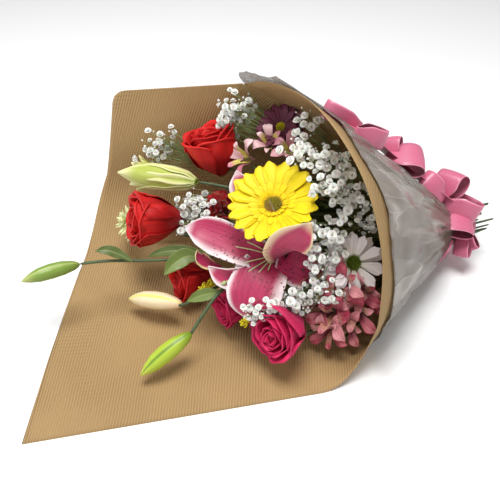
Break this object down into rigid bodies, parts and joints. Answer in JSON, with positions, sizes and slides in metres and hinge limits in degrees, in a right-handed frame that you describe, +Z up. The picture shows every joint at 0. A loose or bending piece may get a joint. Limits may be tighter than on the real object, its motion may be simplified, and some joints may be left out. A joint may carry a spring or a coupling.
{
  "type": "mixed flower bouquet",
  "caption": "Mixed bouquet of lily, gerbera, roses and small flowers in a kraft paper wrap with clear film and a satin ribbon, lying on its side.",
  "frame": {"origin": "on the flat underside of the kraft paper flap, below the flower heads and on the bouquet's centre line", "axes": "+X along the bouquet towards the cut stem ends, +Y from the open front edge towards the standing back wall of the paper, +Z up"},
  "size_m": [0.583, 0.3468, 0.2574],
  "materials": {
    "kraft_paper": "ribbed kraft paper",
    "clear_film": "frosted clear film",
    "satin_ribbon": "satin",
    "green_stem": "fresh plant stem, waxy",
    "leaf": "fresh leaf, waxy",
    "yellow_petal": "fresh petal, velvety",
    "magenta_petal": "fresh petal, velvety",
    "red_petal": "fresh petal, velvety",
    "lily_petal": "fresh petal, waxy",
    "cream_bud_skin": "fresh bud, waxy",
    "green_bud_skin": "fresh bud, waxy",
    "pink_petal": "fresh petal, waxy",
    "burgundy_petal": "fresh petal, velvety",
    "goldenrod_floret": "small florets",
    "white_petal": "small fresh florets"
  },
  "bodies": {
    "root": {"alstroemeria_lower_a": "pink_petal", "alstroemeria_lower_a_stem": "green_stem", "alstroemeria_lower_b": "pink_petal", "alstroemeria_lower_b_stem": "green_stem", "alstroemeria_upper_a": "pink_petal", "alstroemeria_upper_a_stem": "green_stem", "alstroemeria_upper_b": "pink_petal", "alstroemeria_upper_b_stem": "green_stem", "baby_breath_back": "white_petal", "baby_breath_front": "white_petal", "baby_breath_left": "white_petal", "baby_breath_middle": "white_petal", "baby_breath_right": "white_petal", "baby_breath_top": "white_petal", "bow_loop_1": "satin_ribbon", "bow_loop_2": "satin_ribbon", "bow_loop_3": "satin_ribbon", "bow_loop_4": "satin_ribbon", "bow_loop_5": "satin_ribbon", "bow_loop_6": "satin_ribbon", "bow_loop_7": "satin_ribbon", "bow_loop_8": "satin_ribbon", "bow_loop_9": "satin_ribbon", "burgundy_daisy_bloom": "burgundy_petal", "burgundy_daisy_stem": "green_stem", "cream_bud": "cream_bud_skin", "cream_bud_stalk": "green_stem", "cream_mum_bloom": "white_petal", "cream_mum_stem": "green_stem", "film_wrap": "clear_film", "gerbera_bloom": "yellow_petal", "gerbera_stem": "green_stem", "goldenrod": "goldenrod_floret", "kraft_wrap": "kraft_paper", "leaf_left": "leaf", "leaf_low_bud": "leaf", "leaf_middle": "leaf", "left_bud": "green_bud_skin", "left_bud_stalk": "green_stem", "lily_bloom": "lily_petal", "lily_stalk": "green_stem", "low_bud": "green_bud_skin", "low_bud_stalk": "green_stem", "magenta_rose_front_bloom": "magenta_petal", "magenta_rose_front_stem": "green_stem", "magenta_rose_inner_bloom": "magenta_petal", "magenta_rose_inner_stem": "green_stem", "opening_bud": "green_bud_skin", "opening_bud_stalk": "green_stem", "red_carnation_bloom": "red_petal", "red_carnation_stem": "green_stem", "red_rose_back_bloom": "red_petal", "red_rose_back_stem": "green_stem", "red_rose_left_bloom": "red_petal", "red_rose_left_stem": "green_stem", "red_rose_low_bloom": "red_petal", "red_rose_low_stem": "green_stem", "ribbon_band": "satin_ribbon", "white_daisy_bloom": "white_petal", "white_daisy_stem": "green_stem"}
  },
  "joints": []
}
